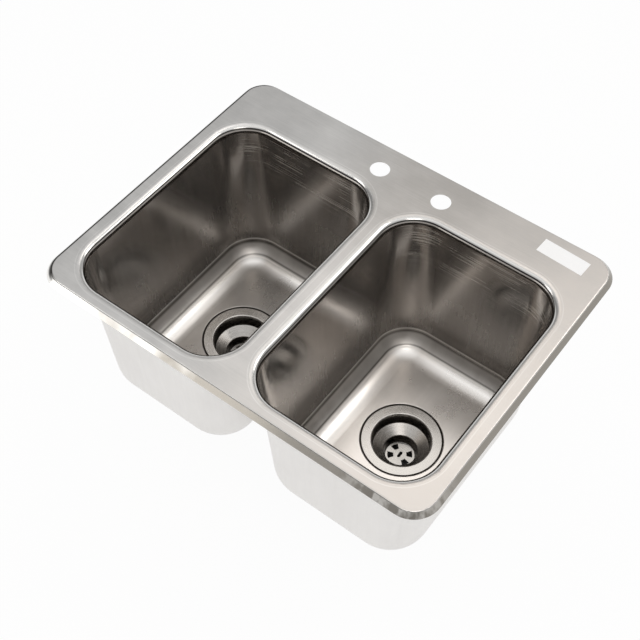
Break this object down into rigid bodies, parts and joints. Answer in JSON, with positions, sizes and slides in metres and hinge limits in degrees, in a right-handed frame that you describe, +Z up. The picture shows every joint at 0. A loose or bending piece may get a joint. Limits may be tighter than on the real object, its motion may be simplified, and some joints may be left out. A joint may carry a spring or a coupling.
{
  "type": "drop-in sink",
  "caption": "Stainless drop-in kitchen sink with side-by-side deep bowls, a rear deck drilled for a tap, basket strainer bodies with outlet tubes, and hold-down clips.",
  "frame": {"origin": "plan centre of the rim, on the worktop's upper face, where the rim's edge rests", "axes": "+X to the user's right, along the sink's length; +Y to the rear, where the tap stands; +Z up, out of the worktop"},
  "size_m": [0.6096, 0.47, 0.4157],
  "materials": {
    "deck_steel": "satin brushed stainless",
    "bowl_steel": "satin stainless, drawn",
    "strainer_steel": "turned satin stainless",
    "grid_steel": "bright stainless",
    "gasket_rubber": "matt black",
    "ring_fibre": "matt fibre",
    "lock_nut_zinc": "die-cast, matt",
    "washer_plastic": "matt white",
    "tailpiece_chrome": "polished",
    "coupling_nut_chrome": "polished",
    "channel_steel": "plain stainless",
    "jaw_steel": "zinc plated",
    "fastener_steel": "zinc plated",
    "label": "matt white, blank"
  },
  "bodies": {
    "sink": {"deck": "deck_steel", "blank_label": "label", "left_bowl": "bowl_steel", "right_bowl": "bowl_steel", "left_strainer_body": "strainer_steel", "left_strainer_grid": "grid_steel", "left_strainer_gasket": "gasket_rubber", "right_strainer_body": "strainer_steel", "right_strainer_grid": "grid_steel", "right_strainer_gasket": "gasket_rubber", "front_left_clip_channel": "channel_steel", "front_middle_clip_channel": "channel_steel", "front_right_clip_channel": "channel_steel", "rear_left_clip_channel": "channel_steel", "rear_middle_clip_channel": "channel_steel", "rear_right_clip_channel": "channel_steel"},
    "left_friction_ring": {"left_friction_ring": "ring_fibre"},
    "left_lock_nut": {"left_lock_nut": "lock_nut_zinc"},
    "left_tailpiece": {"left_tailpiece": "tailpiece_chrome", "left_tailpiece_washer": "washer_plastic"},
    "left_coupling_nut": {"left_coupling_nut": "coupling_nut_chrome"},
    "right_friction_ring": {"right_friction_ring": "ring_fibre"},
    "right_lock_nut": {"right_lock_nut": "lock_nut_zinc"},
    "right_tailpiece": {"right_tailpiece": "tailpiece_chrome", "right_tailpiece_washer": "washer_plastic"},
    "right_coupling_nut": {"right_coupling_nut": "coupling_nut_chrome"},
    "front_left_bolt": {"front_left_clip_bolt": "fastener_steel"},
    "front_left_washer": {"front_left_clip_washer": "fastener_steel"},
    "front_left_jaw": {"front_left_clip_jaw": "jaw_steel"},
    "front_left_nut": {"front_left_clip_nut": "fastener_steel"},
    "front_middle_bolt": {"front_middle_clip_bolt": "fastener_steel"},
    "front_middle_washer": {"front_middle_clip_washer": "fastener_steel"},
    "front_middle_jaw": {"front_middle_clip_jaw": "jaw_steel"},
    "front_middle_nut": {"front_middle_clip_nut": "fastener_steel"},
    "front_right_bolt": {"front_right_clip_bolt": "fastener_steel"},
    "front_right_washer": {"front_right_clip_washer": "fastener_steel"},
    "front_right_jaw": {"front_right_clip_jaw": "jaw_steel"},
    "front_right_nut": {"front_right_clip_nut": "fastener_steel"},
    "rear_left_bolt": {"rear_left_clip_bolt": "fastener_steel"},
    "rear_left_washer": {"rear_left_clip_washer": "fastener_steel"},
    "rear_left_jaw": {"rear_left_clip_jaw": "jaw_steel"},
    "rear_left_nut": {"rear_left_clip_nut": "fastener_steel"},
    "rear_middle_bolt": {"rear_middle_clip_bolt": "fastener_steel"},
    "rear_middle_washer": {"rear_middle_clip_washer": "fastener_steel"},
    "rear_middle_jaw": {"rear_middle_clip_jaw": "jaw_steel"},
    "rear_middle_nut": {"rear_middle_clip_nut": "fastener_steel"},
    "rear_right_bolt": {"rear_right_clip_bolt": "fastener_steel"},
    "rear_right_washer": {"rear_right_clip_washer": "fastener_steel"},
    "rear_right_jaw": {"rear_right_clip_jaw": "jaw_steel"},
    "rear_right_nut": {"rear_right_clip_nut": "fastener_steel"}
  },
  "joints": [
    {"name": "left_friction_ring_drop", "type": "slide", "parent": "sink", "child": "left_friction_ring", "axis": [0, 0, -1], "range_m": [0, 0.0069]},
    {"name": "left_lock_nut_turn", "type": "hinge", "parent": "left_friction_ring", "child": "left_lock_nut", "pos_m": [-0.1466, -0.0218, -0.2538], "axis": [0, 0, -1], "range_deg": [0, 1080]},
    {"name": "left_tailpiece_drop", "type": "slide", "parent": "sink", "child": "left_tailpiece", "axis": [0, 0, -1], "range_m": [0, 0.0066]},
    {"name": "left_coupling_nut_turn", "type": "hinge", "parent": "left_tailpiece", "child": "left_coupling_nut", "pos_m": [-0.1466, -0.0218, -0.3098], "axis": [0, 0, -1], "range_deg": [0, 1080]},
    {"name": "right_friction_ring_drop", "type": "slide", "parent": "sink", "child": "right_friction_ring", "axis": [0, 0, -1], "range_m": [0, 0.0069]},
    {"name": "right_lock_nut_turn", "type": "hinge", "parent": "right_friction_ring", "child": "right_lock_nut", "pos_m": [0.1466, -0.0218, -0.2538], "axis": [0, 0, -1], "range_deg": [0, 1080]},
    {"name": "right_tailpiece_drop", "type": "slide", "parent": "sink", "child": "right_tailpiece", "axis": [0, 0, -1], "range_m": [0, 0.0066]},
    {"name": "right_coupling_nut_turn", "type": "hinge", "parent": "right_tailpiece", "child": "right_coupling_nut", "pos_m": [0.1466, -0.0218, -0.3098], "axis": [0, 0, -1], "range_deg": [0, 1080]},
    {"name": "front_left_bolt_slide", "type": "slide", "parent": "sink", "child": "front_left_bolt", "axis": [-0.7071, -0.7071, 0], "range_m": [0, 0.012]},
    {"name": "front_left_washer_drop", "type": "slide", "parent": "front_left_bolt", "child": "front_left_washer", "axis": [0, 0, -1], "range_m": [0, 0.024]},
    {"name": "front_left_jaw_swivel", "type": "hinge", "parent": "front_left_washer", "child": "front_left_jaw", "pos_m": [-0.27175, -0.2019, -0.004], "axis": [0, 0, 1], "range_deg": [0, 90]},
    {"name": "front_left_nut_turn", "type": "hinge", "parent": "front_left_washer", "child": "front_left_nut", "pos_m": [-0.27175, -0.2019, -0.007], "axis": [0, 0, -1], "range_deg": [0, 10800]},
    {"name": "front_middle_bolt_slide", "type": "slide", "parent": "sink", "child": "front_middle_bolt", "axis": [0, -1, 0], "range_m": [0, 0.012]},
    {"name": "front_middle_washer_drop", "type": "slide", "parent": "front_middle_bolt", "child": "front_middle_washer", "axis": [0, 0, -1], "range_m": [0, 0.024]},
    {"name": "front_middle_jaw_swivel", "type": "hinge", "parent": "front_middle_washer", "child": "front_middle_jaw", "pos_m": [0, -0.20395, -0.004], "axis": [0, 0, 1], "range_deg": [0, 90]},
    {"name": "front_middle_nut_turn", "type": "hinge", "parent": "front_middle_washer", "child": "front_middle_nut", "pos_m": [0, -0.20395, -0.007], "axis": [0, 0, -1], "range_deg": [0, 10800]},
    {"name": "front_right_bolt_slide", "type": "slide", "parent": "sink", "child": "front_right_bolt", "axis": [0.7071, -0.7071, 0], "range_m": [0, 0.012]},
    {"name": "front_right_washer_drop", "type": "slide", "parent": "front_right_bolt", "child": "front_right_washer", "axis": [0, 0, -1], "range_m": [0, 0.024]},
    {"name": "front_right_jaw_swivel", "type": "hinge", "parent": "front_right_washer", "child": "front_right_jaw", "pos_m": [0.27175, -0.2019, -0.004], "axis": [0, 0, 1], "range_deg": [0, 90]},
    {"name": "front_right_nut_turn", "type": "hinge", "parent": "front_right_washer", "child": "front_right_nut", "pos_m": [0.27175, -0.2019, -0.007], "axis": [0, 0, -1], "range_deg": [0, 10800]},
    {"name": "rear_left_bolt_slide", "type": "slide", "parent": "sink", "child": "rear_left_bolt", "axis": [-0.7071, 0.7071, 0], "range_m": [0, 0.012]},
    {"name": "rear_left_washer_drop", "type": "slide", "parent": "rear_left_bolt", "child": "rear_left_washer", "axis": [0, 0, -1], "range_m": [0, 0.024]},
    {"name": "rear_left_jaw_swivel", "type": "hinge", "parent": "rear_left_washer", "child": "rear_left_jaw", "pos_m": [-0.27175, 0.2019, -0.004], "axis": [0, 0, 1], "range_deg": [0, 90]},
    {"name": "rear_left_nut_turn", "type": "hinge", "parent": "rear_left_washer", "child": "rear_left_nut", "pos_m": [-0.27175, 0.2019, -0.007], "axis": [0, 0, -1], "range_deg": [0, 10800]},
    {"name": "rear_middle_bolt_slide", "type": "slide", "parent": "sink", "child": "rear_middle_bolt", "axis": [0, 1, 0], "range_m": [0, 0.012]},
    {"name": "rear_middle_washer_drop", "type": "slide", "parent": "rear_middle_bolt", "child": "rear_middle_washer", "axis": [0, 0, -1], "range_m": [0, 0.024]},
    {"name": "rear_middle_jaw_swivel", "type": "hinge", "parent": "rear_middle_washer", "child": "rear_middle_jaw", "pos_m": [0, 0.20395, -0.004], "axis": [0, 0, 1], "range_deg": [0, 90]},
    {"name": "rear_middle_nut_turn", "type": "hinge", "parent": "rear_middle_washer", "child": "rear_middle_nut", "pos_m": [0, 0.20395, -0.007], "axis": [0, 0, -1], "range_deg": [0, 10800]},
    {"name": "rear_right_bolt_slide", "type": "slide", "parent": "sink", "child": "rear_right_bolt", "axis": [0.7071, 0.7071, 0], "range_m": [0, 0.012]},
    {"name": "rear_right_washer_drop", "type": "slide", "parent": "rear_right_bolt", "child": "rear_right_washer", "axis": [0, 0, -1], "range_m": [0, 0.024]},
    {"name": "rear_right_jaw_swivel", "type": "hinge", "parent": "rear_right_washer", "child": "rear_right_jaw", "pos_m": [0.27175, 0.2019, -0.004], "axis": [0, 0, 1], "range_deg": [0, 90]},
    {"name": "rear_right_nut_turn", "type": "hinge", "parent": "rear_right_washer", "child": "rear_right_nut", "pos_m": [0.27175, 0.2019, -0.007], "axis": [0, 0, -1], "range_deg": [0, 10800]}
  ],
  "couplings": [
    {"joint": "left_friction_ring_drop", "follows": "left_lock_nut_turn", "m_per_rad": 0.00036606},
    {"joint": "left_tailpiece_drop", "follows": "left_coupling_nut_turn", "m_per_rad": 0.00035014},
    {"joint": "right_friction_ring_drop", "follows": "right_lock_nut_turn", "m_per_rad": 0.00036606},
    {"joint": "right_tailpiece_drop", "follows": "right_coupling_nut_turn", "m_per_rad": 0.00035014},
    {"joint": "front_left_nut_turn", "follows": "front_left_washer_drop", "rad_per_m": 7854},
    {"joint": "front_middle_nut_turn", "follows": "front_middle_washer_drop", "rad_per_m": 7854},
    {"joint": "front_right_nut_turn", "follows": "front_right_washer_drop", "rad_per_m": 7854},
    {"joint": "rear_left_nut_turn", "follows": "rear_left_washer_drop", "rad_per_m": 7854},
    {"joint": "rear_middle_nut_turn", "follows": "rear_middle_washer_drop", "rad_per_m": 7854},
    {"joint": "rear_right_nut_turn", "follows": "rear_right_washer_drop", "rad_per_m": 7854}
  ]
}
